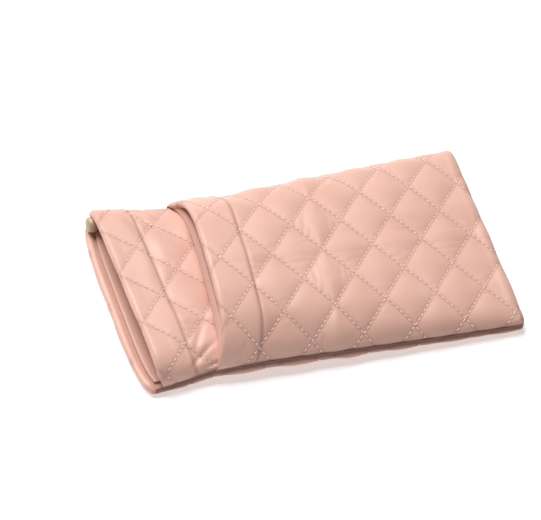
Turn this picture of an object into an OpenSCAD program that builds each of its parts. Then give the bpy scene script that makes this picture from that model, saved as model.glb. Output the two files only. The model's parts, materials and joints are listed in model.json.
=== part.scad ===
// Quilted double-pocket spring-top glasses pouch, lying on its back panel.
// +X runs from the mouths to the closed end, +Z is up, millimetres.
// The origin is under the middle of the pouch, on the surface it lies on.
// Two pockets are stacked. Each wall is flat and turns about the closed end,
// and each mouth is held by a flex frame: two spring strips on a pair of pins.

/* [Pouch] */
// Length from the back mouth to the closed end
pouch_len = 180; // [150:1:220]
// Width over the back panel's turned-up sides
pouch_w = 100; // [80:1:130]
// How far the front mouth sits behind the back mouth
mouth_setback = 36.5; // [24:1:50]
// Length of the sewn end behind the walls
end_seam_len = 7.5; // [6:0.5:12]

/* [Walls] */
// Outer quilted skin
skin_t = 0.9; // [0.6:0.1:1.4]
// Soft wadding behind the skin
wadding_t = 1.7; // [1:0.1:3]
// Lining cloth
lining_t = 0.4; // [0.3:0.1:0.8]

/* [Mouths] */
// Opening between the back pocket's hems as it lies
back_gap = 10; // [6:0.5:20]
// Opening between the front pocket's hems as it lies
front_gap = 11; // [6:0.5:20]
// Depth of a hem, from its lip to its stitched line
hem_depth = 20; // [16:0.5:28]
// Thickness of the turned-in part of a hem that lies behind a skin
hem_sleeve_t = 2.7; // [2.2:0.1:4]
// Thickness of the hem sewn on top of the middle wall
top_hem_t = 2.4; // [2.2:0.1:4]
// Length of a hem's sleeve across the pouch
hem_w = 60; // [46:1:74]
// Height of the channel that the spring strip lies in
channel_h = 1.4; // [1:0.1:1.8]
// Cloth left in front of and behind the channel
channel_edge = 1.5; // [1:0.1:3]

/* [Flex frames] */
// Width of a spring strip
strip_w = 10; // [7:0.5:12]
// Thickness of a spring strip
strip_t = 0.5; // [0.3:0.05:0.8]
// Distance between the two pins of a frame
pin_span = 82; // [70:1:100]
// Diameter of a pin
pin_d = 2.4; // [1.6:0.1:3]
// Diameter of a pin's domed head
head_d = 5; // [3:0.1:6]
// Height of the domed head
head_h = 2.3; // [1.2:0.1:3]
// Share of the strip's width taken by the middle knuckle
mid_knuckle = 4; // [2.5:0.5:5]
// Distance from the lip to the strip's near edge
strip_inset = 3; // [2.8:0.1:5]

/* [Stitching] */
// Length of one stitch
stitch_len = 3; // [2:0.1:5]
// Distance from one stitch to the next
stitch_pitch = 4.5; // [3:0.1:8]
// Diameter of the thread
thread_d = 0.5; // [0.3:0.05:0.8]

/* [Fits] */
// Room beside a wall that turns between two sides
side_gap = 0.5; // [0.3:0.05:1]
// Room between stacked walls at the closed end
wall_gap = 0.5; // [0.3:0.05:1]
// Room for the walls' ends to swing back towards the sewn end
end_gap = 2; // [1.8:0.1:3]
// Radial clearance of a pin in its knuckles
pin_gap = 0.05; // [0.02:0.01:0.1]
// End clearance between knuckles, and under a pin's head
knuckle_gap = 0.2; // [0.1:0.05:0.4]

/* [Hidden] */
$fn = 48;

pink = [0.91, 0.73, 0.66];
hem_pink = [0.88, 0.69, 0.62];
lining_brown = [0.28, 0.17, 0.17];
wadding_white = [0.93, 0.91, 0.88];
spring_steel = [0.72, 0.73, 0.75];
pin_metal = [0.70, 0.58, 0.48];
thread_pale = [0.96, 0.88, 0.84];

// a wall is skin, wadding and lining, and its middle plane holds its turning axis
wall_t = skin_t + wadding_t + lining_t;
half_wall = wall_t / 2;

// lengths are measured from the turning axes towards the mouths
axis_x = pouch_len / 2 - end_seam_len;
back_len = pouch_len - end_seam_len;
front_len = back_len - mouth_setback;

// heights of the turning axes: the back one over the table, the front one over
// the middle wall's middle plane
back_axis_z = wall_t + wall_gap + half_wall;
front_axis_z = half_wall + lining_t + wall_gap + half_wall;

// half widths, from the outside in
back_half = pouch_w / 2;
middle_half = back_half - skin_t - lining_t - side_gap;
front_half = middle_half - skin_t - lining_t - side_gap;

// planes that a spring strip's middle lies in: over the table, over the middle
// wall's middle plane, and below a wall's middle plane
rear_hem_top = skin_t + hem_sleeve_t;
top_hem_top = half_wall + top_hem_t;
hem_low = half_wall - skin_t - hem_sleeve_t;
rear_strip_z = skin_t + hem_sleeve_t / 2;
top_strip_z = half_wall + top_hem_t / 2;
hung_strip_z = hem_low + hem_sleeve_t / 2;

// how far each wall is turned open as the pouch lies
back_tilt = asin((rear_hem_top + back_gap - hem_low - back_axis_z) / back_len);
front_tilt = asin((top_hem_top + front_gap - hem_low - front_axis_z) / front_len);

// the strips' middles, and the pins' heights halfway between the two strips
strip_mid = strip_inset + strip_w / 2;
back_strip_len = back_len - strip_mid;
front_strip_len = front_len - strip_mid;
back_strip_top = back_axis_z + back_strip_len * sin(back_tilt) + hung_strip_z;
front_strip_top = front_axis_z + front_strip_len * sin(front_tilt) + hung_strip_z;
back_pin_z = (rear_strip_z + back_strip_top) / 2;
front_pin_z = (top_strip_z + front_strip_top) / 2;
back_bow = (back_strip_top - rear_strip_z) / 2;
front_bow = (front_strip_top - top_strip_z) / 2;

// rolled knuckles
bore_r = pin_d / 2 + pin_gap;
knuckle_r = bore_r + strip_t;
side_knuckle = (strip_w - mid_knuckle) / 2;
// the end of a strip's bend stands this far off the pin's axis
roll_off = bore_r + strip_t / 2;
// room left between a strip's blank end and the other strip's knuckle
roll_room = 0.4;
bend_steps = 10;

// height of a side at a distance from the turning axis: up to the wall above it
function back_side_top(along) = back_axis_z + half_wall + along * sin(back_tilt);
function front_side_top(along) = front_axis_z + half_wall + along * sin(front_tilt);

// centre line of one bend, from the flat of a strip (s = 0) to its knuckle (s = 1):
// two equal arcs that make an S
function bend_angle(run, rise) = 2 * atan(rise / run);
function bend_r(run, rise) = run / (2 * sin(bend_angle(run, rise)));
function s_point(s, run, rise) =
    let (a = bend_angle(run, rise), r = bend_r(run, rise))
    s < 0.5
        ? [r * sin(2 * s * a), r * (1 - cos(2 * s * a))]
        : [run - r * sin(2 * (1 - s) * a), rise - r * (1 - cos(2 * (1 - s) * a))];
function s_slope(s, run, rise) =
    bend_angle(run, rise) * (s < 0.5 ? 2 * s : 2 * (1 - s));
function s_side(side, run, rise) = [
    for (i = [0 : 2 * bend_steps])
        let (s = i / (2 * bend_steps), p = s_point(s, run, rise), a = s_slope(s, run, rise))
        [p[0] - side * sin(a) * strip_t / 2, p[1] + side * cos(a) * strip_t / 2]
];
function reversed(list) = [for (i = [len(list) - 1 : -1 : 0]) list[i]];

// stand children on the turning axis of the back panel's plane, the middle wall
// and the front wall
module in_back() {
    translate([axis_x, 0, 0])
        children();
}
module in_middle() {
    translate([axis_x, 0, back_axis_z])
        rotate([0, back_tilt, 0])
            children();
}
module in_front() {
    in_middle()
        translate([0, 0, front_axis_z])
            rotate([0, front_tilt, 0])
                children();
}

// a frame's own place: halfway between its two strips and tilted half as much
module at_back_frame() {
    translate([axis_x - back_strip_len, 0, back_pin_z])
        rotate([0, back_tilt / 2, 0])
            children();
}
module at_front_frame() {
    in_middle()
        translate([-front_strip_len, 0, front_pin_z])
            rotate([0, front_tilt / 2, 0])
                children();
}

// a flat layer between two distances from the axis
module layer(from, to, half_w, low, high) {
    translate([-from, -half_w, low])
        cube([from - to, 2 * half_w, high - low]);
}

// an upright side whose top edge slopes with the wall above it
module side(from, to, low, top_from, top_to, y_low, thick) {
    translate([0, y_low + thick, 0])
        rotate([90, 0, 0])
            linear_extrude(thick)
                polygon([[-from, low], [-to, low], [-to, top_to], [-from, top_from]]);
}

// a hem's sleeve with the channel that its spring strip lies in
module sleeve(lip, low, thick) {
    difference() {
        layer(lip, lip - hem_depth, hem_w / 2, low, low + thick);
        translate([-lip + channel_edge, -hem_w / 2 - 1, low + (thick - channel_h) / 2])
            cube([hem_depth - 2 * channel_edge, hem_w + 2, channel_h]);
    }
}

// one row of stitches across the pouch, each a half-round of thread on a surface
module stitch_row(x, z, reach) {
    count = floor((2 * reach - stitch_len) / stitch_pitch) + 1;
    first = -((count - 1) * stitch_pitch + stitch_len) / 2;
    for (i = [0 : count - 1])
        translate([x, first + i * stitch_pitch, z])
            difference() {
                rotate([-90, 0, 0])
                    cylinder(d = thread_d, h = stitch_len, $fn = 16);
                translate([-thread_d, -1, -thread_d])
                    cube([2 * thread_d, stitch_len + 2, thread_d]);
            }
}

// the flat of a strip and its two bends, stopping short of the knuckles
module strip_blank(bow) {
    run = (pin_span - hem_w) / 2;
    rise = bow - roll_off;
    cut = pin_span / 2 - knuckle_r - roll_room;
    intersection() {
        translate([-strip_w / 2, 0, -bow])
            rotate([90, 0, 90])
                linear_extrude(strip_w)
                    union() {
                        translate([-hem_w / 2, -strip_t / 2])
                            square([hem_w, strip_t]);
                        for (m = [0, 1])
                            mirror([m, 0])
                                translate([hem_w / 2, 0])
                                    strip_bend(run, rise);
                    }
        translate([-strip_w, -cut, -2 * bow])
            cube([2 * strip_w, 2 * cut, 4 * bow]);
    }
}
module strip_bend(run, rise) {
    polygon(concat(s_side(-1, run, rise), reversed(s_side(1, run, rise))));
}

// rolled knuckles at both ends of a strip, with the end of the bend that each
// one grows from
module knuckles(bow, from, long) {
    run = (pin_span - hem_w) / 2;
    rise = bow - roll_off;
    cut = pin_span / 2 - knuckle_r - roll_room;
    for (m = [0, 1])
        mirror([0, m, 0])
            translate([from, 0, 0])
                rotate([90, 0, 90])
                    linear_extrude(long)
                        union() {
                            intersection() {
                                translate([hem_w / 2, -bow])
                                    strip_bend(run, rise);
                                translate([cut, -bow])
                                    square([pin_span / 2 - cut, bow]);
                            }
                            translate([pin_span / 2, 0])
                                circle(r = knuckle_r);
                        }
}

module strip_bores() {
    for (y = [-pin_span / 2, pin_span / 2])
        translate([-strip_w, y, 0])
            rotate([0, 90, 0])
                cylinder(r = bore_r, h = 2 * strip_w);
}

// the strip that carries the two outer knuckles at each end
module outer_knuckle_strip(bow) {
    difference() {
        union() {
            strip_blank(bow);
            for (from = [-strip_w / 2, strip_w / 2 - side_knuckle + knuckle_gap])
                knuckles(bow, from, side_knuckle - knuckle_gap);
        }
        strip_bores();
    }
}

// the strip that carries the middle knuckle at each end, bowed the other way
module middle_knuckle_strip(bow) {
    mirror([0, 0, 1])
        difference() {
            union() {
                strip_blank(bow);
                knuckles(bow, -mid_knuckle / 2, mid_knuckle);
            }
            strip_bores();
        }
}

// a pin with a domed head towards the mouth and a small flat end behind
module pin(y) {
    tail_r = (bore_r + knuckle_r) / 2;
    tail_h = 0.6;
    translate([0, y, 0])
        rotate([0, 90, 0]) {
            translate([0, 0, -strip_w / 2 - knuckle_gap])
                cylinder(d = pin_d, h = strip_w + 2 * knuckle_gap);
            translate([0, 0, strip_w / 2 + knuckle_gap])
                cylinder(r = tail_r, h = tail_h);
            translate([0, 0, -strip_w / 2 - knuckle_gap])
                rotate_extrude()
                    intersection() {
                        scale_dome();
                        translate([0, -head_h])
                            square([head_d, head_h]);
                    }
        }
}
// outline of the dome: a circle through the rim and the crown
module scale_dome() {
    dome_r = (head_d * head_d / 4 + head_h * head_h) / (2 * head_h);
    translate([0, dome_r - head_h])
        circle(r = dome_r);
}

// ---- back body ----
module back_panel() {
    color(pink)
        in_back()
            layer(back_len, -end_seam_len, back_half, 0, skin_t);
}
module back_panel_side(y_low) {
    in_back()
        side(back_len, -end_gap, skin_t, back_side_top(back_len), back_side_top(0),
             y_low, skin_t);
}
module back_panel_side_near() {
    color(pink)
        back_panel_side(-back_half);
}
module back_panel_side_far() {
    color(pink)
        back_panel_side(back_half - skin_t);
}
module back_wadding() {
    color(wadding_white)
        in_back()
            layer(back_len - hem_depth, -end_gap, back_half - skin_t,
                  skin_t, skin_t + wadding_t);
}
module back_pocket_rear_lining() {
    lining_from = back_len - hem_depth;
    color(lining_brown)
        in_back() {
            layer(lining_from, -end_gap, back_half - skin_t, skin_t + wadding_t, wall_t);
            for (y = [-back_half + skin_t, back_half - skin_t - lining_t])
                side(lining_from, -end_gap, wall_t, back_side_top(lining_from),
                     back_side_top(0), y, lining_t);
        }
}
module back_mouth_rear_hem() {
    color(hem_pink)
        in_back()
            sleeve(back_len, skin_t, hem_sleeve_t);
}
module back_mouth_rear_stitching() {
    color(thread_pale)
        in_back()
            stitch_row(-back_len + hem_depth - channel_edge / 2, rear_hem_top, hem_w / 2);
}
module back_mouth_rear_spring() {
    color(spring_steel)
        at_back_frame()
            outer_knuckle_strip(back_bow);
}
module closed_end_seam() {
    seam_top = back_axis_z + front_axis_z + half_wall;
    color(pink)
        in_back()
            layer(-end_gap, -end_seam_len, back_half, skin_t, seam_top);
}
module closed_end_stitching() {
    seam_top = back_axis_z + front_axis_z + half_wall;
    color(thread_pale)
        in_back()
            stitch_row((end_gap + end_seam_len) / 2, seam_top, back_half - stitch_pitch);
}

// ---- back frame's pins ----
module back_mouth_pin_near() {
    color(pin_metal)
        at_back_frame()
            pin(-pin_span / 2);
}
module back_mouth_pin_far() {
    color(pin_metal)
        at_back_frame()
            pin(pin_span / 2);
}

// ---- middle body ----
module middle_panel() {
    color(pink)
        in_middle()
            layer(back_len, 0, middle_half, half_wall - skin_t, half_wall);
}
module middle_wadding() {
    color(wadding_white)
        in_middle()
            layer(back_len - hem_depth, 0, middle_half,
                  lining_t - half_wall, half_wall - skin_t);
}
module back_pocket_front_lining() {
    color(lining_brown)
        in_middle()
            layer(back_len - hem_depth, 0, middle_half, -half_wall, lining_t - half_wall);
}
module back_mouth_front_hem() {
    color(hem_pink)
        in_middle()
            sleeve(back_len, hem_low, hem_sleeve_t);
}
module back_mouth_front_stitching() {
    color(thread_pale)
        in_middle()
            stitch_row(-back_len + hem_depth, half_wall, middle_half - stitch_pitch);
}
module back_mouth_front_spring() {
    color(spring_steel)
        at_back_frame()
            middle_knuckle_strip(back_bow);
}
module front_panel_side(y_low) {
    in_middle()
        side(front_len, 0, half_wall, front_side_top(front_len), front_side_top(0),
             y_low, skin_t);
}
module front_panel_side_near() {
    color(pink)
        front_panel_side(-middle_half);
}
module front_panel_side_far() {
    color(pink)
        front_panel_side(middle_half - skin_t);
}
module front_pocket_rear_lining() {
    lining_from = front_len - hem_depth;
    color(lining_brown)
        in_middle() {
            layer(lining_from, 0, middle_half - skin_t, half_wall, half_wall + lining_t);
            for (y = [-middle_half + skin_t, middle_half - skin_t - lining_t])
                side(lining_from, 0, half_wall + lining_t, front_side_top(lining_from),
                     front_side_top(0), y, lining_t);
        }
}
module front_mouth_rear_hem() {
    color(hem_pink)
        in_middle()
            sleeve(front_len, half_wall, top_hem_t);
}
module front_mouth_rear_stitching() {
    color(thread_pale)
        in_middle()
            stitch_row(-front_len + hem_depth - channel_edge / 2, top_hem_top, hem_w / 2);
}
module front_mouth_rear_spring() {
    color(spring_steel)
        at_front_frame()
            outer_knuckle_strip(front_bow);
}

// ---- front frame's pins ----
module front_mouth_pin_near() {
    color(pin_metal)
        at_front_frame()
            pin(-pin_span / 2);
}
module front_mouth_pin_far() {
    color(pin_metal)
        at_front_frame()
            pin(pin_span / 2);
}

// ---- front body ----
module front_panel() {
    color(pink)
        in_front()
            layer(front_len, 0, front_half, half_wall - skin_t, half_wall);
}
module front_wadding() {
    color(wadding_white)
        in_front()
            layer(front_len - hem_depth, 0, front_half,
                  lining_t - half_wall, half_wall - skin_t);
}
module front_pocket_front_lining() {
    color(lining_brown)
        in_front()
            layer(front_len - hem_depth, 0, front_half, -half_wall, lining_t - half_wall);
}
module front_mouth_front_hem() {
    color(hem_pink)
        in_front()
            sleeve(front_len, hem_low, hem_sleeve_t);
}
module front_mouth_front_stitching() {
    color(thread_pale)
        in_front()
            stitch_row(-front_len + hem_depth, half_wall, front_half - stitch_pitch);
}
module front_mouth_front_spring() {
    color(spring_steel)
        at_front_frame()
            middle_knuckle_strip(front_bow);
}

back_panel();
back_panel_side_near();
back_panel_side_far();
back_wadding();
back_pocket_rear_lining();
back_mouth_rear_hem();
back_mouth_rear_stitching();
back_mouth_rear_spring();
closed_end_seam();
closed_end_stitching();
back_mouth_pin_near();
back_mouth_pin_far();
middle_panel();
middle_wadding();
back_pocket_front_lining();
back_mouth_front_hem();
back_mouth_front_stitching();
back_mouth_front_spring();
front_panel_side_near();
front_panel_side_far();
front_pocket_rear_lining();
front_mouth_rear_hem();
front_mouth_rear_stitching();
front_mouth_rear_spring();
front_mouth_pin_near();
front_mouth_pin_far();
front_panel();
front_wadding();
front_pocket_front_lining();
front_mouth_front_hem();
front_mouth_front_stitching();
front_mouth_front_spring();
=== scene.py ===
import json
import math

import bmesh
import bpy
import numpy as np
from mathutils import Matrix, Vector


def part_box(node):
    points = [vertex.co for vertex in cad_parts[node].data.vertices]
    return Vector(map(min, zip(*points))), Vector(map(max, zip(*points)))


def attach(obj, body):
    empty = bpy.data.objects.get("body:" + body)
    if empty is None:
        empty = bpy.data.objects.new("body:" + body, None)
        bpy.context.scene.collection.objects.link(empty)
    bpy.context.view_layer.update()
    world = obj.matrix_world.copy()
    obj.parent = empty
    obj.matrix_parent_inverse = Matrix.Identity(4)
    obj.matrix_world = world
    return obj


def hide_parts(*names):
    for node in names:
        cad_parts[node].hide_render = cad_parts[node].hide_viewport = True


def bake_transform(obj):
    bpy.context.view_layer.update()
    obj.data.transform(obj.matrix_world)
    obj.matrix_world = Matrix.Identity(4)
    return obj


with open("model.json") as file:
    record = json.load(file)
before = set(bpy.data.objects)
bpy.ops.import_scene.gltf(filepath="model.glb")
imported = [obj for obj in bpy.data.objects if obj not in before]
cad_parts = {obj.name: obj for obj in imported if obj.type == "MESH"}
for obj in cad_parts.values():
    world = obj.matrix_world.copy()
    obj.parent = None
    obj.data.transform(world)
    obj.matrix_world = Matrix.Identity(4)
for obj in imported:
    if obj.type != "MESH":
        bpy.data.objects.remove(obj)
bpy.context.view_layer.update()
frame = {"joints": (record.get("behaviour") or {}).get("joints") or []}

mm = 0.001  # shapes are worked out in millimetres and made in metres
print("stage: frame loaded")


def boxMm(node):
    low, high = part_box(node)
    return np.array(low) / mm, np.array(high) / mm


backLow, backHigh = boxMm("back_panel")
middleLow, middleHigh = boxMm("middle_panel")
frontLow, frontHigh = boxMm("front_panel")
mouthX = backLow[0]
endX = backHigh[0]
frontMouthX = frontLow[0]
hingeX = frame["joints"][0]["pos_m"][0] / mm
halfGirth = 57  # about half the way across a wall, measured along the cloth

pouch = {
    # half widths at stations along the length, 0 at the back mouth and 1 at the closed end
    "nearHalf": [(0, 51.4), (0.08, 50.2), (0.15, 48.9), (0.22, 49.4), (0.45, 50.9), (0.7, 52.0),
                 (1, 53.2)],
    "farHalf": [(0, 52.2), (0.08, 51.2), (0.15, 48.4), (0.22, 47.6), (0.34, 46.6), (0.5, 48.8),
                (0.7, 51.4), (1, 54.4)],
    "seam": [(0, 3.4), (0.1, 4.4), (0.18, 6.6), (0.26, 7.6), (0.5, 7.0), (0.75, 5.4), (1, 4.3)],
    "cornerR": 3.2,  # rounding of the closed end's corners in plan
    "endRoll": 6.0,  # length over which the closed end rolls down to its seam
    "inset": 1.9,  # on the near side the upper panels' bulge stops this far short of the back one's
    "pinch": 2.8,  # how far the seam is drawn in behind the back panel's bulge
    "pinchReach": 1.4,
    "endSkew": 1.2,  # the closed end's far corner lies this much further out, the near one in
}


def smooth(low, high, x):
    t = np.clip((np.asarray(x, float) - low) / (high - low), 0, 1)
    return t * t * (3 - 2 * t)


def through(points, at):
    # a smooth line through a few stations
    u, v = np.array(points, float).T
    slope = np.gradient(v, u)
    at = np.clip(at, u[0], u[-1])
    k = np.clip(np.searchsorted(u, at, side="right") - 1, 0, len(u) - 2)
    w = u[k + 1] - u[k]
    t = (at - u[k]) / w
    a, b = t * t * (3 - 2 * t), t * (1 - t)
    return v[k] * (1 - a) + v[k + 1] * a + w * b * ((1 - t) * slope[k] - t * slope[k + 1])


def along(x):
    return np.clip((x - mouthX) / (endX - mouthX), 0, 1)


def sideHalf(x, far):
    # half width of the pouch at its near or far side seam
    half = through(pouch["farHalf" if far else "nearHalf"], along(x))
    r = pouch["cornerR"]
    into = np.clip((x - (endX - r)) / r, 0, 1)
    return half - r * (1 - np.sqrt(1 - into * into))


def seamZ(x):
    return through(pouch["seam"], along(x))


def endDrop(x):
    into = np.clip((x - (endX - pouch["endRoll"])) / pouch["endRoll"], 0, 1)
    return np.sqrt(1 - into * into)


crowns = {
    # heights of the walls' tops, as shares between the turning axis and the lip
    "middle": [(0, 0.0), (0.3, 0.30), (0.75, 0.80), (0.85, 0.92), (1, 1.02)],
    "front": [(0, 0.04), (0.15, 0.21), (0.5, 0.55), (0.85, 0.90), (1, 1.0)],
}


def middleTop(x):
    share = (hingeX - x) / (hingeX - middleLow[0])
    low = middleLow[2] + 1
    return low + (middleHigh[2] - low) * through(crowns["middle"], np.clip(share, 0, 1))


def frontTop(x):
    share = (hingeX - x) / (hingeX - frontLow[0])
    low = frontLow[2] + 1.5
    return low + (frontHigh[2] - 2.2 - low) * through(crowns["front"], np.clip(share, 0, 1))


class Surface:
    # one side of a panel: a section curve at every station along the pouch, shared
    # out evenly by length, so that a place on the cloth is (distance, side share)
    stations = 150
    columns = 161

    def __init__(self, quilting, top, lip, squareness, fullness, inset, up=1):
        self.quilting = quilting
        self.lip = lip
        self.up = up
        self.x = mouthX - 4 + (endX - mouthX + 4) * np.linspace(0, 1, self.stations)
        # the last stations crowd up to the closed end, where the section changes fast
        self.x = endX - (endX - self.x) ** 1.6 / (endX - self.x[0]) ** 0.6
        self.f = np.linspace(-1, 1, self.columns)
        self.y = np.zeros((self.stations, self.columns))
        self.z = np.zeros((self.stations, self.columns))
        self.width = np.zeros(self.stations)
        angle = np.linspace(math.pi, 0, 700)
        cosA, sinA = np.cos(angle), np.sin(angle).clip(0)
        for k, x in enumerate(self.x):
            p, q = squareness(x), fullness(x)
            seam, crown = float(seamZ(x)), float(top(x))
            height = (crown - seam) * float(endDrop(x))
            half = np.where(cosA > 0, float(sideHalf(x, True)), float(sideHalf(x, False)) - inset)
            y = half * np.sign(cosA) * np.abs(cosA) ** (2 / p)
            z = seam + height * sinA ** (2 / q)
            steps = np.hypot(np.diff(y), np.diff(z))
            run = np.concatenate([[0], np.cumsum(steps)])
            toEdge = np.minimum(run, run[-1] - run)
            drawnIn = np.where(cosA > 0, pouch["pinch"] - 0.3, pouch["pinch"] - inset)
            y = y - np.sign(y) * drawnIn * np.exp(-(toEdge / pouch["pinchReach"]) ** 2)
            steps = np.hypot(np.diff(y), np.diff(z))
            run = np.concatenate([[0], np.cumsum(steps)])
            even = (self.f + 1) / 2 * run[-1]
            self.y[k] = np.interp(even, run, y)
            self.z[k] = np.interp(even, run, z)
            self.width[k] = run[-1]

    def place(self, d, f):
        # point on the smooth surface, d behind the lip and at side share f
        d, f = np.broadcast_arrays(np.asarray(d, float), np.asarray(f, float))
        x = np.minimum(self.lip(f) + d, endX)
        k = np.clip(np.searchsorted(self.x, x) - 1, 0, self.stations - 2)
        a = (x - self.x[k]) / (self.x[k + 1] - self.x[k])
        c = (np.clip(f, -1, 1) + 1) / 2 * (self.columns - 1)
        j = np.clip(c.astype(int), 0, self.columns - 2)
        b = c - j

        def mixed(grid):
            near = grid[k, j] * (1 - b) + grid[k, j + 1] * b
            far = grid[k + 1, j] * (1 - b) + grid[k + 1, j + 1] * b
            return near * (1 - a) + far * a

        y = mixed(self.y)
        askew = pouch["endSkew"] * y / 50 * smooth(0.35, 1, along(x))
        return np.stack([x + askew, y, mixed(self.z)], -1)

    def normal(self, d, f):
        step, turn = 0.6, 0.012
        fa, fb = np.clip(f - turn, -1, 1), np.clip(f + turn, -1, 1)
        # straight along x on both sides, so that the lip's shape doesn't tilt it
        here = self.lip(np.asarray(f, float)) + d
        dx = self.place(here + step - self.lip(f), f) - self.place(here - step - self.lip(f), f)
        df = self.place(here - self.lip(fb), fb) - self.place(here - self.lip(fa), fa)
        n = np.cross(dx, df)
        n = n / np.maximum(np.linalg.norm(n, axis=-1, keepdims=True), 1e-9)
        return n * self.up

    def off(self, d, f, out):
        return self.place(d, f) + self.normal(d, f) * np.asarray(out)[..., None]

    def hem(self):
        return self.quilting["hem"]

    def length(self, f=0.0):
        return endX - float(self.lip(np.array(f)))

    def halfCloth(self, x):
        return np.interp(x, self.x, self.width) / 2


lips = {
    "backOut": 0.6,  # the rear lip of the back mouth stands this far out between its corners
    "backCorner": 5.4,  # and its corners are drawn back by this much
    "middleBack": 3.6,  # the front lip of the back mouth sits this far behind the rear one
    "middleSkew": 1.7,  # and its near end further back
    "middleCorner": 1.5,
    "frontBack": 3.2,
    "skew": 4.8,  # the front mouth is skewed: its far end sits this much further back
    "sweepFar": 9.0,  # and both its ends run forward along the side seam
    "sweepNear": 4.5,
    "frontRear": 1.8,  # its rear lip sits this far in front of the front one
}


def backLip(f):
    return mouthX - lips["backOut"] + lips["backCorner"] * np.abs(f) ** 5


def middleLip(f):
    skewed = lips["middleBack"] + lips["middleSkew"] * (1 - f)
    return mouthX + skewed + lips["middleCorner"] * np.abs(f) ** 8


def frontLip(f):
    sweep = np.where(f > 0, lips["sweepFar"], lips["sweepNear"]) * np.abs(f) ** 5
    return frontMouthX + lips["frontBack"] + lips["skew"] * f - sweep


def frontRearLip(f):
    return frontLip(f) - lips["frontRear"] * (1 - np.abs(f) ** 6)


def section(name):
    # squareness and fullness of a wall's section, by stations along the length
    return (lambda x: float(through(sections[name][0], along(x))),
            lambda x: float(through(sections[name][1], along(x))))


sections = {
    "back": ([(0, 9), (1, 11)], [(0, 2.2), (1, 2.2)]),
    "middle": ([(0, 9), (0.08, 7), (0.18, 3.5), (0.3, 3.0), (1, 5)],
               [(0, 2.3), (0.08, 2.2), (0.18, 1.8), (0.3, 1.7), (1, 1.8)]),
    "front": ([(0, 3.2), (0.2, 3.2), (0.45, 3.4), (0.75, 5.5), (1, 10)],
              [(0, 1.6), (0.2, 1.6), (0.45, 1.7), (0.75, 1.9), (1, 2.2)]),
}

quiltings = {
    # a diamond's length and width, where one of its corners lies, how far the rows lean
    # and how far behind the lip the hem's stitched line runs
    "back": {"long": 24.7, "wide": 31.2, "s0": 5.0, "t0": 0.0, "lean": 0.0, "hem": 16.5},
    "middle": {"long": 27.0, "wide": 28.0, "s0": -86.5, "t0": -22.5, "lean": -0.10, "hem": 15.5},
    "front": {"long": 24.7, "wide": 31.0, "s0": 5.6, "t0": -1.6, "lean": 0.135, "hem": 17.0},
}

backSide = Surface(quiltings["back"], lambda x: 0 * x, backLip, *section("back"),
                   0.0, up=-1)
inset = pouch["inset"]
middleSide = Surface(quiltings["middle"], middleTop, middleLip, *section("middle"), inset)
frontSide = Surface(quiltings["front"], frontTop, frontLip, *section("front"), inset)
frontRearSide = Surface(quiltings["middle"], middleTop, frontRearLip, *section("middle"), inset)
print("stage: surfaces ready")


quilt = {
    "depth": 1.35,  # how deep the stitch lines sink below the diamonds' crowns
    "perDiamond": 24,  # cloth cells along a diamond in the simulation
    "simLong": 5,  # diamonds simulated along and across
    "simWide": 5,
}


def sewnSheet():
    # a flat sheet held along its stitch lines and blown up between them
    n = quilt["perDiamond"]
    long, wide = quiltings["front"]["long"], quiltings["front"]["wide"]
    u = np.arange(quilt["simLong"] * n + 1) / n
    v = np.arange(quilt["simWide"] * n + 1) / n
    uGrid, vGrid = np.meshgrid(u, v, indexing="ij")
    a, b = uGrid + vGrid, uGrid - vGrid
    held = (np.abs(a - np.round(a)) < 0.01) | (np.abs(b - np.round(b)) < 0.01)
    scale = 0.1  # a sheet a few units long is steadier to simulate than one in millimetres
    lift = np.random.default_rng(7).normal(0, 0.012, a.shape) * ~held
    co = np.stack([uGrid * long * scale, vGrid * wide * scale, lift], -1).reshape(-1, 3)
    index = np.arange(a.size).reshape(a.shape)
    quads = np.stack([index[:-1, :-1], index[1:, :-1], index[1:, 1:], index[:-1, 1:]], -1)
    mesh = bpy.data.meshes.new("sewnSheet")
    mesh.from_pydata(co.tolist(), [], quads.reshape(-1, 4).tolist())
    sheet = bpy.data.objects.new("sewnSheet", mesh)
    bpy.context.scene.collection.objects.link(sheet)
    group = sheet.vertex_groups.new(name="held")
    group.add(index[held].tolist(), 1.0, "REPLACE")
    cloth = sheet.modifiers.new("cloth", "CLOTH")
    cloth.settings.vertex_group_mass = "held"
    cloth.settings.quality = 6
    cloth.settings.mass = 0.2
    cloth.settings.tension_stiffness = 30
    cloth.settings.compression_stiffness = 30
    cloth.settings.shear_stiffness = 8
    cloth.settings.bending_stiffness = 0.9
    cloth.settings.shrink_min = -0.055
    cloth.settings.use_pressure = True
    cloth.settings.uniform_pressure_force = 6
    cloth.settings.effector_weights.gravity = 0
    cloth.collision_settings.use_collision = False
    cloth.point_cache.frame_start = 1
    cloth.point_cache.frame_end = 30
    for step in range(1, 27):
        bpy.context.scene.frame_set(step)
    settled = sheet.evaluated_get(bpy.context.evaluated_depsgraph_get())
    out = np.zeros(a.size * 3)
    settled.data.vertices.foreach_get("co", out)
    height = np.abs(out.reshape(*a.shape, 3)[..., 2]) / scale
    bpy.data.objects.remove(sheet)
    bpy.data.meshes.remove(mesh)
    bpy.context.scene.frame_set(1)
    crown = float(np.percentile(height, 97))
    print("sewn sheet: crown", crown, "mm")
    return np.clip(height / crown, 0, 1.15)


quiltHeight = sewnSheet()
print("stage: quilting settled")


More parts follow.
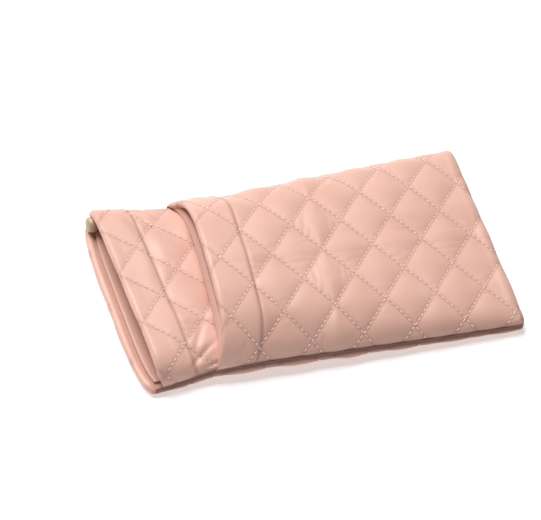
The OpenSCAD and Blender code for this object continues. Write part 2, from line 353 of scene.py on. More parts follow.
def quiltAt(u, v):
    # height between 0 on a stitch line and 1 on a crown, from the sewn sheet
    n = quilt["perDiamond"]
    i = np.mod(u, quilt["simLong"]) * n
    j = np.mod(v, quilt["simWide"]) * n
    i0 = np.clip(i.astype(int), 0, quiltHeight.shape[0] - 2)
    j0 = np.clip(j.astype(int), 0, quiltHeight.shape[1] - 2)
    a, b = i - i0, j - j0
    h = quiltHeight
    near = h[i0, j0] * (1 - b) + h[i0, j0 + 1] * b
    far = h[i0 + 1, j0] * (1 - b) + h[i0 + 1, j0 + 1] * b
    return near * (1 - a) + far * a


def diamondPlace(surface, d, f):
    # place on the quilting, counted in diamonds along and across
    q = surface.quilting
    s = surface.lip(f) + d
    t = f * surface.halfCloth(np.minimum(s, endX))
    return (s - q["lean"] * t - q["s0"]) / q["long"], (t - q["t0"]) / q["wide"]


def meshObject(name, points, faces):
    mesh = bpy.data.meshes.new(name)
    mesh.from_pydata((np.asarray(points) * mm).tolist(), [], faces)
    mesh.polygons.foreach_set("use_smooth", [True] * len(mesh.polygons))
    mesh.update()
    made = bpy.data.objects.new(name, mesh)
    bpy.context.scene.collection.objects.link(made)
    return made


def gridFaces(index, flip=False):
    a, b, c, d = index[:-1, :-1], index[1:, :-1], index[1:, 1:], index[:-1, 1:]
    order = [a, b, c, d] if flip else [a, d, c, b]
    return np.stack(order, -1).reshape(-1, 4)


def closedShell(name, rowsOut, rowsIn, flip):
    # rowsOut runs from the far edge to the lip and on round it, rowsIn back again:
    # one folded sheet, closed along both sides and across the end
    grid = np.concatenate([rowsOut, rowsIn])
    n, m = grid.shape[:2]
    index = np.arange(n * m).reshape(n, m)
    faces = [gridFaces(index, flip)]
    half = min(len(rowsOut), len(rowsIn))
    for side in (0, m - 1):
        first = index[:half, side]
        last = index[::-1][:half, side]
        strip = np.stack([first, last], 1)
        faces.append(gridFaces(strip, flip if side == 0 else not flip))
    ends = np.stack([index[0], index[-1]], 0)
    faces.append(gridFaces(ends, not flip))
    allFaces = np.concatenate(faces)
    return meshObject(name, grid.reshape(-1, 3), allFaces.tolist())


def addDiamonds(piece, u, v, shown):
    # where each point lies on the quilting, which the leather's stitch marks follow
    place = piece.data.attributes.new("diamondPlace", "FLOAT_VECTOR", "POINT")
    flat = np.stack([u, v, shown], -1).reshape(-1)
    place.data.foreach_set("vector", flat.astype(np.float32))
    return piece


def noDiamonds(piece):
    none = np.zeros(len(piece.data.vertices))
    return addDiamonds(piece, none, none, none)


wall = {
    "thick": 2.4,  # skin and wadding
    "hemHalf": 1.9,  # half the thickness of a turned lip
    "edgeThick": 0.5,  # what is left of a panel at the side seam
    "grooveDeep": 0.55,
    "grooveWide": 0.8,
    "hemPuff": 0.5,  # share of the quilting's depth that shows on a hem
    "rollSteps": 7,
    "hemShade": 0.55,  # half width of the shade in the hem's groove
    "seamShade": 2.0,  # and along the seams
}


def edgeShare(surface, f, reach=7.0):
    # 0 at the side seams, 1 away from them
    return smooth(0, 1, (1 - np.abs(f)) * halfGirth / reach)


def endShare(surface, d, f, reach=5.0):
    left = endX - (surface.lip(f) + d)
    return smooth(0, reach, left)


dents = {
    # soft folds where the lower pocket is drawn in beside the front mouth:
    # x, side share, direction in degrees, half length, half width, depth
    "middle": [(-61, -0.62, 60, 7, 1.4, 1.1), (-62, -0.80, 35, 8, 1.3, 1.2),
               (-66, -0.86, 80, 7, 1.6, 1.1), (-60, -0.93, 10, 7, 1.5, 1.2),
               (-70, -0.70, 95, 9, 2.2, 0.9), (-63, 0.62, -50, 8, 1.6, 1.3),
               (-66, 0.76, -20, 8, 1.5, 1.2), (-61, 0.84, -60, 6, 1.3, 1.1),
               (-72, 0.60, -75, 9, 2.4, 1.0), (-69, 0.15, 85, 16, 2.6, 0.9)],
    "back": [(-66, -0.62, 80, 6, 1.8, 0.9), (-61, -0.60, 80, 5, 1.4, 0.9),
             (-45, -0.60, 75, 5, 2.0, 0.6), (-20, -0.60, 95, 5, 2.4, 0.5),
             (8, -0.60, 80, 5, 2.4, 0.5), (38, -0.60, 85, 5, 2.6, 0.5)],
    "front": [(-44, 0.80, -65, 7, 1.8, 0.8), (-47, -0.90, 60, 6, 1.6, 0.7),
              (-36, 0.86, -80, 7, 2.0, 0.7)],
}


def dentDepth(surface, d, f):
    name = next(k for k, q in quiltings.items() if q is surface.quilting)
    x = surface.lip(f) + d
    total = 0 * x
    for x0, side, turn, long, wide, deep in dents[name]:
        across = (f - side) * halfGirth
        c, w = math.cos(math.radians(turn)), math.sin(math.radians(turn))
        alongFold, acrossFold = (x - x0) * c + across * w, across * c - (x - x0) * w
        reach = np.exp(-(alongFold / long) ** 2)
        total = total + deep * reach * (np.exp(-(acrossFold / wide) ** 2)
                                        - 0.35 * np.exp(-(acrossFold / wide / 2.2) ** 2))
    return total


def panelRelief(surface, d, f):
    # quilting, hem groove and seams on a panel's outside, always below its crowns
    puff = quiltAt(*diamondPlace(surface, d, f))
    onHem = 1 - smooth(surface.hem() - 1.5, surface.hem() + 1.5, d)
    deep = quilt["depth"] * (1 - (1 - wall["hemPuff"]) * onHem)
    deep = deep * (0.25 + 0.75 * edgeShare(surface, f, 9)) * (0.3 + 0.7 * endShare(surface, d, f))
    relief = -deep * (1 - puff)
    groove = np.exp(-((d - surface.hem()) / wall["grooveWide"]) ** 2)
    relief = relief - wall["grooveDeep"] * groove * edgeShare(surface, f, 5)
    relief = relief - dentDepth(surface, d, f) * edgeShare(surface, f, 5)
    return relief


def rowsAlong(surface, spacing):
    # row distances from the lip, even along the crown line, so the rolled end is fine too
    d = np.linspace(0, surface.length(), 900)
    p = surface.place(d, 0 * d)
    run = np.concatenate([[0], np.cumsum(np.linalg.norm(np.diff(p, axis=0), axis=1))])
    count = int(run[-1] / spacing) + 1
    return np.interp(np.linspace(0, run[-1], count), run, d) / surface.length()


def quiltedPanel(name, surface, spacing, floor=None):
    share = rowsAlong(surface, spacing)
    columns = int(surface.width.mean() / spacing)
    f = np.linspace(-1, 1, columns)
    shareGrid, fGrid = np.meshgrid(share, f, indexing="ij")
    length = endX - surface.lip(fGrid)
    d = shareGrid * length
    base, normal = surface.place(d, fGrid), surface.normal(d, fGrid)
    relief = panelRelief(surface, d, fGrid)
    outer = base + normal * relief[..., None]
    # inner side: as thick as the turned hem at the lip, then one wall, thin at the seams
    edge = edgeShare(surface, fGrid, 8)
    hem = 2 * wall["hemHalf"] * (1 - smooth(1.2, 3.6, d))
    thick = np.maximum(hem, wall["thick"] * smooth(-0.5, 2.5, d))
    thick = wall["edgeThick"] + (thick - wall["edgeThick"]) * edge
    thick = thick * (0.25 + 0.75 * endShare(surface, d, fGrid, 9))
    inner = base + normal * np.minimum(relief * 0.3 - 0.4, -thick)[..., None]
    # the lip's roll, from the outside round to the inside
    radius = (np.linalg.norm(outer[0] - inner[0], axis=-1) / 2)[:, None]
    middle = (outer[0] + inner[0]) / 2
    upward = (outer[0] - inner[0]) / (2 * radius)
    forward = np.array([-1.0, 0, 0])
    turns = np.linspace(0, math.pi, wall["rollSteps"] + 2)[1:-1]
    roll = [middle + radius * (math.cos(a) * upward + math.sin(a) * forward) for a in turns]
    rowsOut = np.concatenate([outer[::-1], np.array(roll)[: len(roll) // 2]])
    rowsIn = np.concatenate([np.array(roll)[len(roll) // 2:], inner])
    if floor is not None:
        rowsOut[..., 2] = np.maximum(rowsOut[..., 2], floor)
        rowsIn[..., 2] = np.maximum(rowsIn[..., 2], floor + 0.25)
    piece = closedShell(name, rowsOut, rowsIn, surface.up < 0)
    u, v = diamondPlace(surface, d, fGrid)
    rollU = np.array([u[0] - radius[:, 0] * a / surface.quilting["long"] for a in turns])
    rollV = np.array([v[0]] * len(turns))
    allU, allV = np.concatenate([u[::-1], rollU, u]), np.concatenate([v[::-1], rollV, v])
    shown = np.concatenate([u * 0 + 1, rollU * 0 + 1, u * 0])
    addDiamonds(piece, allU, allV, shown)
    # painted shade: the hem's stitched groove and the side seams are darkened in colour
    groove = np.exp(-((d - surface.hem()) / wall["hemShade"]) ** 2) * 0.6
    fromSeam = (1 - np.abs(fGrid)) * halfGirth
    fromEnd = length * (1 - shareGrid)
    seam = np.exp(-(np.minimum(fromSeam, fromEnd + 0.3) / wall["seamShade"]) ** 2)
    dark = np.maximum(groove, seam)
    allDark = np.concatenate([dark[::-1], rollU * 0, dark])
    shade = piece.data.attributes.new("seamShade", "FLOAT", "POINT")
    shade.data.foreach_set("value", allDark.reshape(-1).astype(np.float32))
    return piece


def layer(name, surface, dFrom, dTo, fReach, outer, inner, spacing=1.6):
    # a thin closed layer that follows a surface between two depths below it
    n = max(int((dTo - dFrom) / spacing), 3)
    m = max(int(fReach * surface.width.mean() / spacing), 6)
    d, f = np.meshgrid(np.linspace(dFrom, dTo, n), np.linspace(-fReach, fReach, m),
                       indexing="ij")
    top = surface.off(d, f, outer(d, f) if callable(outer) else outer + 0 * d)
    low = surface.off(d, f, inner(d, f) if callable(inner) else inner + 0 * d)
    return closedShell(name, top[::-1], low, surface.up < 0)


thread = {
    "pitch": 2.7,  # from one stitch to the next
    "length": 2.1,
    "radius": 0.21,
    "sides": 6,
    "proud": 0.10,  # how far a stitch's middle stands above the cloth
    "dipRadius": 0.27,  # the radius that a stitch's rise and dips are given for
    "lines": 14,  # lines of quilting to either side of the first
    "lineReach": 240,  # how far a line runs to either side
}


def stitchMesh(name, starts, ends, ups, radius=None):
    # every stitch is a short soft capsule whose ends dive into the cloth
    radius = radius or thread["radius"]
    share = np.array([0.0, 0.12, 0.35, 0.65, 0.88, 1.0])
    girth = np.array([0.25, 0.8, 1.0, 1.0, 0.8, 0.25])
    dip = np.array([-0.42, -0.1, 0.08, 0.08, -0.1, -0.42])
    sides = thread["sides"]
    turn = np.arange(sides) * 2 * math.pi / sides
    axis = ends - starts
    length = np.linalg.norm(axis, axis=1, keepdims=True)
    axis = axis / length
    side = np.cross(axis, ups)
    side = side / np.linalg.norm(side, axis=1, keepdims=True)
    up = np.cross(side, axis)
    rings = []
    for k in range(len(share)):
        rise = dip[k] * radius / thread["dipRadius"] + thread["proud"]
        centre = starts + (ends - starts) * share[k] + up * rise
        for a in turn:
            rings.append(centre + radius * girth[k] * (math.cos(a) * side + math.sin(a) * up))
    n = len(starts)
    points = np.stack(rings, 1).reshape(-1, 3)
    perStitch = len(share) * sides
    faces = []
    one = []
    for k in range(len(share) - 1):
        for j in range(sides):
            a, b = k * sides + j, k * sides + (j + 1) % sides
            one.append((a, b, b + sides, a + sides))
    caps = [tuple(range(sides))[::-1], tuple(range(perStitch - sides, perStitch))]
    for i in range(n):
        base = i * perStitch
        faces.extend([tuple(v + base for v in q) for q in one])
        faces.extend([tuple(v + base for v in q) for q in caps])
    return meshObject(name, points, faces)


def stitchRun(q, family):
    # length of one diamond side along a family of lines
    return math.hypot(q["long"] - family * q["lean"] * q["wide"], q["wide"]) / 2


def quiltStitches(surface, dMin, dMax, floor=None):
    # stitches along both families of lines, wherever they cross the panel
    q = surface.quilting
    starts, ends, ups = [], [], []
    for family in (1, -1):
        run = stitchRun(q, family)
        for line in range(-thread["lines"], thread["lines"] + 1):
            count = int(thread["lineReach"] / thread["pitch"])
            k = np.arange(-count, count)
            pair = np.stack([k * thread["pitch"], k * thread["pitch"] + thread["length"]], -1) / run
            u = (line + pair) / 2
            v = family * (line - pair) / 2
            t = v * q["wide"] + q["t0"]
            s = u * q["long"] + q["s0"] + q["lean"] * t
            f = t / surface.halfCloth(np.clip(s, surface.x[0], endX))
            d = s - surface.lip(np.clip(f, -1, 1))
            last = np.minimum(dMax, endX - surface.lip(np.clip(f, -1, 1)) - 2.0)
            ok = ((np.abs(f) < 0.975) & (d > dMin) & (d < last)).all(1)
            d, f = d[ok], f[ok]
            p = surface.off(d, f, panelRelief(surface, d, f))
            up = surface.normal(d, f)[:, 0]
            if floor is not None:
                low = p[..., 2].min(1) > floor
                p, up = p[low], up[low]
            starts.append(p[:, 0])
            ends.append(p[:, 1])
            ups.append(up)
    return np.concatenate(starts), np.concatenate(ends), np.concatenate(ups)


def rowStitches(surface, d, fFrom, fTo, out, pitch=3.4, length=2.6):
    # one row across a hem, d behind the lip
    count = int((fTo - fFrom) * halfGirth / pitch)
    f = fFrom + (np.arange(count) + 0.5) * pitch / halfGirth
    fa, fb = f - length / 2 / halfGirth, f + length / 2 / halfGirth
    dd = d + 0 * f
    starts = surface.off(dd, fa, out + 0 * f)
    ends = surface.off(dd, fb, out + 0 * f)
    ups = surface.normal(dd, f) * (1 if out > -1.5 else -1)  # the other way up on an inner face
    return starts, ends, ups


class Val:
    # a number in a material: sums on it add Math nodes
    def __init__(self, paint, socket):
        self.paint = paint
        self.socket = socket

    def math(self, operation, *others):
        return self.paint.node("ShaderNodeMath", {"operation": operation},
                               dict(enumerate([self, *others])))

    def flipped(self, operation, other):
        return self.paint.node("ShaderNodeMath", {"operation": operation}, {0: other, 1: self})

    def __add__(self, other):
        return self.math("ADD", other)

    __radd__ = __add__

    def __mul__(self, other):
        return self.math("MULTIPLY", other)

    __rmul__ = __mul__

    def __sub__(self, other):
        return self.math("SUBTRACT", other)

    def __rsub__(self, other):
        return self.flipped("SUBTRACT", other)

    def __truediv__(self, other):
        return self.math("DIVIDE", other)

    def __abs__(self):
        return self.math("ABSOLUTE")


class Paint:
    # one material, built around a Principled shader
    def __init__(self, name, values):
        self.material = bpy.data.materials.new(name)
        self.material.use_nodes = True
        self.tree = self.material.node_tree
        self.tree.nodes.clear()
        self.shader = self.tree.nodes.new("ShaderNodeBsdfPrincipled")
        out = self.tree.nodes.new("ShaderNodeOutputMaterial")
        self.tree.links.new(self.shader.outputs[0], out.inputs[0])
        self.material.diffuse_color = (*values.get("Base Color", (0.8, 0.8, 0.8, 1))[:3], 1)
        for key, value in values.items():
            self.shader.inputs[key].default_value = value

    def node(self, kind, settings=None, inputs=None, output=0):
        made = self.tree.nodes.new(kind)
        for key, value in (settings or {}).items():
            setattr(made, key, value)
        for key, value in (inputs or {}).items():
            if isinstance(value, Val):
                self.tree.links.new(value.socket, made.inputs[key])
            else:
                made.inputs[key].default_value = value
        return Val(self, made.outputs[output])

    def place(self):
        # object coordinates in millimetres
        where = self.node("ShaderNodeTexCoord", output="Object")
        return self.node("ShaderNodeVectorMath", {"operation": "SCALE"},
                         {0: where, "Scale": 1 / mm})

    def noise(self, vector, scale, detail=3.0, rough=0.5):
        return self.node("ShaderNodeTexNoise", None, {
            "Vector": vector, "Scale": scale, "Detail": detail, "Roughness": rough})

    def cells(self, vector, scale):
        return self.node("ShaderNodeTexVoronoi", {"feature": "DISTANCE_TO_EDGE"},
                         {"Vector": vector, "Scale": scale})

    def mix(self, factor, a, b, kind="MIX"):
        return self.node("ShaderNodeMix", {"data_type": "RGBA", "blend_type": kind},
                         {0: factor, 6: a, 7: b}, output=2)

    def bump(self, height, strength, distance):
        return self.node("ShaderNodeBump", None, {
            "Height": height, "Strength": strength, "Distance": distance * mm})

    def feed(self, key, value):
        self.tree.links.new(value.socket, self.shader.inputs[key])
        return self


leather = {
    "colour": (0.735, 0.440, 0.357, 1),
    "shade": (0.63, 0.345, 0.274, 1),  # where the colour drifts darker
    "stitchShade": (0.50, 0.235, 0.180, 1),  # painted shade in the ditches beside the stitches
    "grain": 1.15,  # grain cells per millimetre
    "roughness": 0.44,
}


def leatherPaint(name, quilting):
    paint = Paint(name, {"Base Color": leather["colour"], "Roughness": leather["roughness"],
                         "Specular IOR Level": 0.42, "Coat Weight": 0.08, "Coat Roughness": 0.35,
                         "Subsurface Weight": 0.0})
    at = paint.place()
    drift = paint.noise(at, 0.045, 3)
    fine = paint.noise(at, 0.9, 4, 0.6)
    place = paint.node("ShaderNodeAttribute", {"attribute_name": "diamondPlace"},
                       output="Vector")
    u = paint.node("ShaderNodeSeparateXYZ", None, {0: place}, output=0)
    v = paint.node("ShaderNodeSeparateXYZ", None, {0: place}, output=1)
    onCloth = paint.node("ShaderNodeSeparateXYZ", None, {0: place}, output=2)
    long, wide = quiltings["front"]["long"], quiltings["front"]["wide"]
    between = long * wide / math.hypot(long, wide)
    a = u + v
    b = u - v
    toA = abs(a - a.math("ROUND")) * between
    toB = abs(b - b.math("ROUND")) * between
    toLine = toA.math("MINIMUM", toB)
    # needle holes, painted dark as the shade inside them: where the stitches of the nearest line
    # begin and end
    gap = (thread["pitch"] + thread["length"]) / 2 / thread["pitch"]
    holeA = holeNear(b * (stitchRun(quilting, 1) / thread["pitch"]), gap, toA)
    holeB = holeNear(a * (stitchRun(quilting, -1) / thread["pitch"]), gap, toB)
    hole = holeA.math("MAXIMUM", holeB) * onCloth
    ditch = (1 - toLine / 1.5).math("MAXIMUM", 0.0) * onCloth
    colour = paint.mix((drift - 0.42) * 1.6, leather["colour"], leather["shade"])
    # painted shade in the ditches beside the stitch lines
    colour = paint.mix(ditch * 0.45, colour, leather["stitchShade"])
    # painted shade inside the needle holes
    colour = paint.mix(hole * 0.5, colour, (0.28, 0.12, 0.085, 1))
    # painted shade: darker colour along the seams and in the hem's groove, from the seamShade
    # attribute
    seam = paint.node("ShaderNodeAttribute", {"attribute_name": "seamShade"}, output="Fac")
    colour = paint.mix(seam * 0.9, colour, (0.17, 0.06, 0.045, 1))
    paint.feed("Base Color", colour)
    paint.feed("Roughness", 0.36 + drift * 0.1 + fine * 0.08)
    grain = paint.cells(at, leather["grain"])
    pores = paint.noise(at, 3.2, 2)
    # short puckers that cross the stitch lines and fade away from them
    pucker = paint.noise(at, 0.55, 2, 0.6) * (1 - toLine / 6.0).math("MAXIMUM", 0.0) * onCloth
    height = grain * 0.10 + pores * 0.05 + pucker * 0.55 - hole * 0.5 - ditch * 0.12
    paint.feed("Normal", paint.bump(height, 0.5, 0.55))
    return paint.material


def holeNear(run, gap, away):
    # 1 at a needle hole of a line, 0 a third of a millimetre off it
    fromHole = abs(run - gap - (run - gap).math("ROUND")) * thread["pitch"]
    reach = (fromHole * fromHole + away * away).math("SQRT")
    return (1 - reach / 0.36).math("MAXIMUM", 0.0)


def threadPaint():
    paint = Paint("sewingThread", {"Base Color": (0.94, 0.77, 0.71, 1), "Roughness": 0.6,
                                   "Specular IOR Level": 0.35})
    at = paint.place()
    twist = paint.node("ShaderNodeTexWave", {"wave_type": "BANDS", "bands_direction": "DIAGONAL"},
                       {"Vector": at, "Scale": 2.2, "Distortion": 0.6})
    tone = paint.noise(at, 0.3, 2)
    paint.feed("Base Color", paint.mix(tone, (0.97, 0.84, 0.79, 1), (0.90, 0.70, 0.63, 1)))
    paint.feed("Normal", paint.bump(twist, 0.4, 0.1))
    return paint.material


def liningPaint():
    paint = Paint("liningCloth", {"Base Color": (0.045, 0.022, 0.026, 1), "Roughness": 0.5,
                                  "Sheen Weight": 0.25, "Sheen Roughness": 0.4})
    at = paint.place()
    warp = paint.node("ShaderNodeTexWave", {"bands_direction": "X"}, {"Vector": at, "Scale": 1.1})
    weft = paint.node("ShaderNodeTexWave", {"bands_direction": "Y"}, {"Vector": at, "Scale": 1.1})
    weave = warp * weft
    tone = paint.noise(at, 0.08, 3)
    paint.feed("Base Color", paint.mix(tone, (0.060, 0.028, 0.032, 1), (0.030, 0.015, 0.020, 1)))
    paint.feed("Roughness", 0.42 + weave * 0.2)
    paint.feed("Normal", paint.bump(weave + tone, 0.35, 0.2))
    return paint.material


def steelPaint():
    paint = Paint("springSteel", {"Base Color": (0.62, 0.62, 0.63, 1), "Metallic": 1.0,
                                  "Roughness": 0.3})
    at = paint.place()
    drawn = paint.node("ShaderNodeVectorMath", {"operation": "MULTIPLY"},
                       {0: at, 1: (4.0, 0.12, 4.0)})
    lines = paint.noise(drawn, 1.0, 3)
    paint.feed("Roughness", 0.22 + lines * 0.22)
    paint.feed("Normal", paint.bump(lines, 0.2, 0.05))
    return paint.material


def pinPaint():
    paint = Paint("platedPin", {"Base Color": (0.50, 0.36, 0.25, 1), "Metallic": 0.2,
                                "Roughness": 0.5})
    at = paint.place()
    rub = paint.noise(at, 0.7, 4, 0.6)
    paint.feed("Base Color", paint.mix(rub, (0.60, 0.44, 0.29, 1), (0.40, 0.28, 0.20, 1)))
    paint.feed("Roughness", 0.42 + rub * 0.25)
    paint.feed("Normal", paint.bump(rub, 0.15, 0.1))
    return paint.material


paints = {
    "back": leatherPaint("backLeather", quiltings["back"]),
    "middle": leatherPaint("middleLeather", quiltings["middle"]),
    "front": leatherPaint("frontLeather", quiltings["front"]),
    "thread": threadPaint(),
    "lining": liningPaint(),
    "steel": steelPaint(),
    "pin": pinPaint(),
}
print("stage: materials ready")


def finishPiece(piece, paint, replaced=()):
    piece.data.materials.clear()
    piece.data.materials.append(paints[paint])
    if replaced:
        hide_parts(*replaced)
    return piece


# heights where the walls are parted into pieces: the same heights for every piece, so that seams
# stay shut
bends = {
    "middleFrom": 7.7,  # just above the highest point of the side seams
    "middleTo": 16.0,
    "frontFrom": 17.0,
    "frontTo": frontHigh[2] - 4,
}


def withBack(piece):
    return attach(piece, "back_shell")


def withMiddle(piece):
    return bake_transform(piece)


def withFront(piece):
    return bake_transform(piece)


def splitLow(piece, name, filled=False):
    # the part below the height where only the middle wall pulls becomes a piece of its own
    height = (bends["middleTo"] + bends["frontFrom"]) / 2 * mm
    low = bpy.data.objects.new(name, piece.data.copy())
    bpy.context.scene.collection.objects.link(low)
    for part, keepHigh in ((piece, True), (low, False)):
        sculpt = bmesh.new()
        sculpt.from_mesh(part.data)
        gone = [face for face in sculpt.faces if (face.calc_center_median().z > height) != keepHigh]
        bmesh.ops.delete(sculpt, geom=gone, context="FACES")
        if filled:
            rim = [edge for edge in sculpt.edges if edge.is_boundary]
            bmesh.ops.holes_fill(sculpt, edges=rim, sides=0)
        sculpt.to_mesh(part.data)
        sculpt.free()
    return low


def makeBackWall():
    panel = quiltedPanel("backPanel", backSide, spacing=0.95, floor=0.0)
    finishPiece(panel, "back",
                ["back_panel", "back_panel_side_near", "back_panel_side_far", "back_wadding"])
    withBack(panel)
    seams = stitchMesh("backPanelQuilting", *quiltStitches(backSide, 2, 170, floor=0.05))
    finishPiece(seams, "thread")
    withBack(seams)


def makeMiddleWall():
    panel = quiltedPanel("middlePanel", middleSide, spacing=0.95)
    finishPiece(panel, "middle", ["middle_panel", "middle_wadding"])
    withMiddle(panel)
    seams = stitchMesh("middlePanelQuilting", *quiltStitches(middleSide, 2, 44))
    finishPiece(seams, "thread")
    withMiddle(seams)


def makeFrontWall():
    panel = quiltedPanel("frontPanel", frontSide, spacing=0.8)
    sides = splitLow(panel, "frontPanelSides")
    finishPiece(panel, "front", ["front_panel", "front_wadding"])
    finishPiece(sides, "front", ["front_panel_side_near", "front_panel_side_far"])
    withFront(panel)
    withMiddle(sides)
    seams = stitchMesh("frontPanelQuilting", *quiltStitches(frontSide, 2, 170))
    lowSeams = splitLow(seams, "frontPanelSidesQuilting")
    finishPiece(seams, "thread")
    finishPiece(lowSeams, "thread")
    withFront(seams)
    withMiddle(lowSeams)


makeBackWall()
makeMiddleWall()
makeFrontWall()
print("stage: quilted walls made")

hems = {
    "faceOut": -2.9,  # the turned-in face of a hem lies between these depths
    "faceIn": -3.7,
    "from": 3.0,
    "reach": 0.86,
}


def makeHem(name, surface, nodes, place):
    face = layer(name, surface, hems["from"], surface.hem() + 1, hems["reach"],
                 hems["faceOut"], hems["faceIn"], 1.2)
    noDiamonds(face)
    finishPiece(face, "back", nodes[:1])
    place(face)
    rows = rowStitches(surface, surface.hem() - 0.5, -0.8, 0.8, hems["faceIn"])
    row = stitchMesh(name + "Stitches", *rows)
    finishPiece(row, "thread", nodes[1:])
    place(row)


makeHem("backMouthRearHem", backSide, ["back_mouth_rear_hem", "back_mouth_rear_stitching"],
        withBack)
makeHem("backMouthFrontHem", middleSide, ["back_mouth_front_hem", "back_mouth_front_stitching"],
        withMiddle)
makeHem("frontMouthFrontHem", frontSide, ["front_mouth_front_hem", "front_mouth_front_stitching"],
        withFront)
print("stage: hems made")


def makeRearFrontHem():
    # the front pocket's rear hem is a padded band that lies on the middle wall
    deep = frontRearSide.hem()

    def outside(d, f):
        rise = np.sqrt(np.clip(1 - np.clip((1.6 - d) / 1.6, 0, 1) ** 2, 0, 1))
        fall = 1 - smooth(deep - 1, deep + 2, d)
        return 0.15 + 2.7 * rise * fall * smooth(0, 0.12, 1 - np.abs(f))

    band = layer("frontMouthRearHem", frontRearSide, 0.0, deep + 2, 0.985, outside, 0.05, 0.9)
    noDiamonds(band)
    finishPiece(band, "back", ["front_mouth_rear_hem"])
    withMiddle(band)
    f = np.linspace(-0.8, 0.8, 27)
    d = 0 * f + deep - 2
    reach = 1.3 / halfGirth
    starts = frontRearSide.off(d, f - reach, outside(d, f))
    ends = frontRearSide.off(d, f + reach, outside(d, f))
    row = stitchMesh("frontMouthRearHemStitches", starts, ends, frontRearSide.normal(d, f))
    finishPiece(row, "thread", ["front_mouth_rear_stitching"])
    withMiddle(row)


makeRearFrontHem()


def makeLinings():
    full = 2 * halfGirth * mm
    rows = [
        ("backPocketRearLining", backSide, -2.75, -3.05, "back_pocket_rear_lining", withBack, 0.93),
        ("backPocketFrontLining", middleSide, -2.75, -3.05, "back_pocket_front_lining",
         withMiddle, 0.93),
        ("frontPocketFrontLining", frontSide, -2.75, -3.05, "front_pocket_front_lining",
         withFront, 0.93),
    ]
    for name, surface, out, into, node, place, reach in rows:
        start, to = surface.hem() - 1, surface.length() - 9
        cloth = layer(name, surface, start, to, reach, out, into, 2.0)
        flat = (full * reach, (to - start) * mm)
        cut = {}
        if place is withFront:
            # its low part follows the middle wall, as the panel's sides do; every cell of the
            # grid is the same piece of the flat cut, so the cut is shared out by their number
            low = splitLow(cloth, name + "Sides", filled=True)
            cells = len(low.data.polygons) + len(cloth.data.polygons)
            each = flat[0] * flat[1] / cells
            cut = {"area": each * len(cloth.data.polygons)}
            finishPiece(low, "lining")
            withMiddle(low)
            each * len(low.data.polygons)
        finishPiece(cloth, "lining", [node])
        place(cloth)
    start, to = frontRearSide.hem() - 1, frontRearSide.length() - 9
    cloth = layer("frontPocketRearLining", frontRearSide, start, to, 0.9, 0.55, 0.25, 2.0)
    finishPiece(cloth, "lining", ["front_pocket_rear_lining"])
    withMiddle(cloth)
    (to - start) * mm


makeLinings()
print("stage: linings made")

strips = {"from": 4.5, "wide": 10.0, "out": -2.4, "into": -2.85, "reach": 0.74}


def makeStrips():
    rows = [
        ("backMouthRearSpring", backSide, "back_mouth_rear_spring", withBack, 0),
        ("backMouthFrontSpring", middleSide, "back_mouth_front_spring", withMiddle, 0),
        ("frontMouthFrontSpring", frontSide, "front_mouth_front_spring", withFront, 0),
        ("frontMouthRearSpring", frontRearSide, "front_mouth_rear_spring", withMiddle, 3.6),
    ]
    for name, surface, node, place, lift in rows:
        strip = layer(name, surface, strips["from"], strips["from"] + strips["wide"],
                      strips["reach"], strips["out"] + lift, strips["into"] + lift, 1.0)
        finishPiece(strip, "steel", [node])
        place(strip)


makeStrips()


def lathe(name, profile, sides, origin, axis):
    # profile of (distance along the axis, radius)
    points, faces = [], []
    axis = Vector(axis).normalized()
    side = axis.orthogonal().normalized()
    other = axis.cross(side)
    for k, (at, r) in enumerate(profile):
        for j in range(sides):
            a = 2 * math.pi * j / sides
            p = Vector(origin) + axis * at + (side * math.cos(a) + other * math.sin(a)) * r
            points.append(tuple(p))
            if k:
                i, n = (k - 1) * sides + j, (k - 1) * sides + (j + 1) % sides
                faces.append((i, n, n + sides, i + sides))
    faces.append(tuple(range(sides))[::-1])
    faces.append(tuple(range(len(points) - sides, len(points))))
    return meshObject(name, points, faces)


def makePins():
    # a pin with rolled knuckles on it and a rounded head at the mouth
    head = [(0, 0.4), (0.05, 2.4), (0.35, 3.0), (1.0, 3.4), (2.6, 3.6), (4.0, 3.4), (4.5, 2.8)]
    knuckles = []
    at = 4.6
    for length in (2.8, 3.8, 2.8):
        knuckles += [(at, 1.4), (at + 0.05, 2.3), (at + 0.3, 2.6), (at + length - 0.3, 2.6),
                     (at + length - 0.05, 2.3), (at + length, 1.4)]
        at += length + 0.25
    places = {
        # just inside each mouth's ends, between its two hems, and how thick beside the usual
        "back_mouth_pin_near": (mouthX + 7.5, -41.5, 8.0, 0.75),
        "back_mouth_pin_far": (mouthX + 0.2, 44.2, 8.0, 1.0),
        "front_mouth_pin_near": (frontMouthX + 2.0, -31.0, 19.6, 0.72),
        "front_mouth_pin_far": (frontMouthX + 6.5, 30.5, 19.6, 0.72),
    }
    for node, (*origin, size) in places.items():
        mouth, side = node.split("_")[0], node.split("_")[-1]
        profile = [(at, r * size) for at, r in head]
        profile += [(at, r * min(size, 0.8)) for at, r in knuckles]
        pin = lathe(f"{mouth}MouthPin{side.title()}", profile, 28, origin, (1, 0, 0))
        finishPiece(pin, "pin", [node])
        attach(pin, f"{mouth}_frame_pins")


makePins()
print("stage: flex frames made")


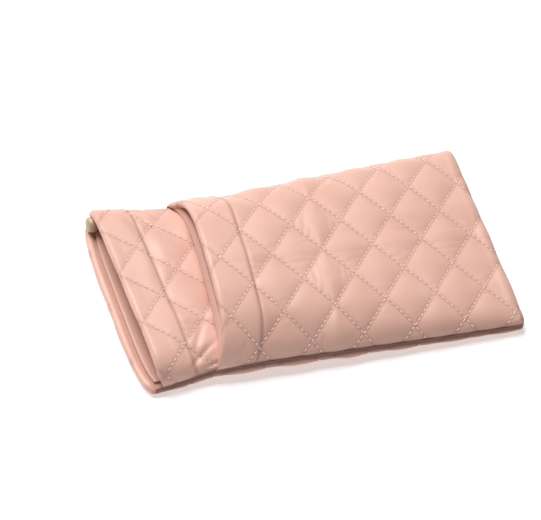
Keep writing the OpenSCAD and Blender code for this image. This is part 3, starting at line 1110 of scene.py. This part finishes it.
def makeEndSeam():
    # the folded allowance between the panels' ends, and its row of stitches
    y = np.linspace(-1, 1, 90) * (float(sideHalf(np.array(endX), True)) - 2)
    askew = pouch["endSkew"] * y / 50
    points = np.stack([endX - 2.4 + askew, y, 0 * y + seamZ(endX)], 1)
    ring = 10
    turn = np.arange(ring) * 2 * math.pi / ring
    grid = points[:, None] + 1.1 * np.stack(
        [np.cos(turn) * 1.5, 0 * turn, np.sin(turn) * 0.6], 1)[None]
    index = np.arange(len(y) * ring).reshape(len(y), ring)
    index = np.concatenate([index, index[:, :1]], 1)
    faces = gridFaces(index).tolist()
    faces += [list(index[0, :-1]), list(index[-1, :-1][::-1])]
    seam = meshObject("closedEndSeam", grid.reshape(-1, 3), faces)
    noDiamonds(seam)
    finishPiece(seam, "back", ["closed_end_seam"])
    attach(seam, "back_shell")
    at = np.arange(-38, 38.1, 4.0)
    base = np.stack([endX - 0.9 + pouch["endSkew"] * at / 50, at, 0 * at + seamZ(endX)], 1)
    gap = np.array([0, 0, 1.3])
    row = stitchMesh("closedEndStitching", base - gap, base + gap,
                     np.tile([1.0, 0, 0], (len(at), 1)), 0.22)
    finishPiece(row, "thread", ["closed_end_stitching"])
    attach(row, "back_shell")


makeEndSeam()


studio = {
    "azimuth": -27.64,
    "elevation": 49.74,
    "roll": 11.84,
    "viewWide": 243.694,  # how much the view takes in from side to side
    "distance": 1.6,
    "aimRight": -14.9,  # where the view is aimed, to the right of and above the origin
    "aimUp": 8.2,
    "world": 0.25,
    "softboxPlace": (-0.30, 0.675, 1.305),
    "softboxPower": 28.5,
    "softboxSize": 1.2,
}


def makeFloor():
    size = 3.0
    corners = np.array([(-1, -1, 0), (1, -1, 0), (1, 1, 0), (-1, 1, 0)]) * size / mm
    floor = meshObject("floor", corners, [(0, 1, 2, 3)])
    paint = Paint("paleFloor", {"Base Color": (0.80, 0.80, 0.80, 1), "Roughness": 0.7,
                                "Specular IOR Level": 0.2, "Emission Strength": 0.40,
                                "Emission Color": (1, 1, 1, 1)})
    at = paint.place()
    paint.feed("Roughness", 0.62 + paint.noise(at, 0.02, 2) * 0.1)
    floor.data.materials.append(paint.material)


def areaLight(name, place, target, power, size):
    data = bpy.data.lights.new(name, "AREA")
    data.shape = "DISK"
    data.energy = power
    data.size = size
    light = bpy.data.objects.new(name, data)
    light.location = place
    light.rotation_mode = "QUATERNION"
    aim = Vector(target) - Vector(place)
    light.rotation_quaternion = aim.to_track_quat("-Z", "Y")
    bpy.context.scene.collection.objects.link(light)


def makeLights():
    world = bpy.data.worlds.new("studioWorld")
    world.use_nodes = True
    background = world.node_tree.nodes["Background"]
    background.inputs[0].default_value = (1, 1, 1, 1)
    background.inputs[1].default_value = studio["world"]
    bpy.context.scene.world = world
    areaLight("softbox", studio["softboxPlace"], (0, 0, 0), studio["softboxPower"],
              studio["softboxSize"])


def makeCamera():
    az, el = math.radians(studio["azimuth"]), math.radians(studio["elevation"])
    back = Vector((math.sin(az) * math.cos(el), -math.cos(az) * math.cos(el), math.sin(el)))
    facing = (-back).to_track_quat("-Z", "Y").to_matrix()
    turned = facing @ Matrix.Rotation(math.radians(studio["roll"]), 3, "Z")
    right, up = turned.col[0], turned.col[1]
    data = bpy.data.cameras.new("camera")
    wide = studio["viewWide"] * mm
    data.sensor_width = 36
    data.lens = 36 * studio["distance"] / wide
    data.clip_end = 20
    camera = bpy.data.objects.new("camera", data)
    aim = right * studio["aimRight"] * mm + up * studio["aimUp"] * mm
    camera.matrix_world = Matrix.Translation(aim + back * studio["distance"]) @ turned.to_4x4()
    bpy.context.scene.collection.objects.link(camera)
    bpy.context.scene.camera = camera


makeFloor()
makeLights()
makeCamera()
bpy.context.scene.view_settings.view_transform = "Standard"
print("stage: studio ready")
